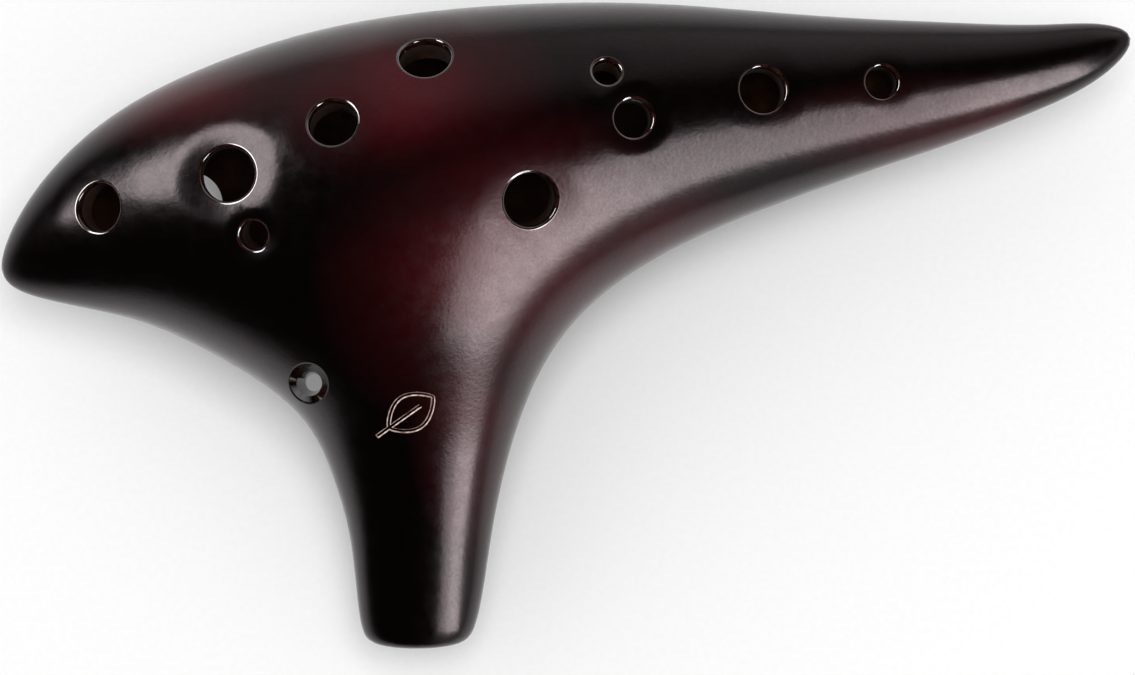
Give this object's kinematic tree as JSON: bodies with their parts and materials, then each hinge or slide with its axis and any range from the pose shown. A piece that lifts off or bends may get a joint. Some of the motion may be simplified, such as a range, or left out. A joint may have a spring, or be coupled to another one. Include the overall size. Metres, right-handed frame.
{
  "type": "transverse ocarina",
  "caption": "Sweet-potato-shaped transverse ocarina in dark glossy glaze, with a drooping mouthpiece, windway, sound window, finger holes, thumb holes and a cord eye.",
  "frame": {"origin": "centre of the bounding box in plan, at the lowest point of the thumb side, where the ocarina rests on a table", "axes": "+X along the body towards the tail tip, -Y towards the mouthpiece, +Z out of the face with the finger holes"},
  "size_m": [0.1895, 0.1084, 0.0505],
  "materials": {
    "glaze": "deep gloss, near-black wine red glaze",
    "bare_clay": "unglazed fired clay"
  },
  "bodies": {
    "root": {"front_shell": "glaze", "back_shell": "glaze", "windway_block": "bare_clay", "windway_roof": "glaze", "labium": "glaze"}
  },
  "joints": []
}
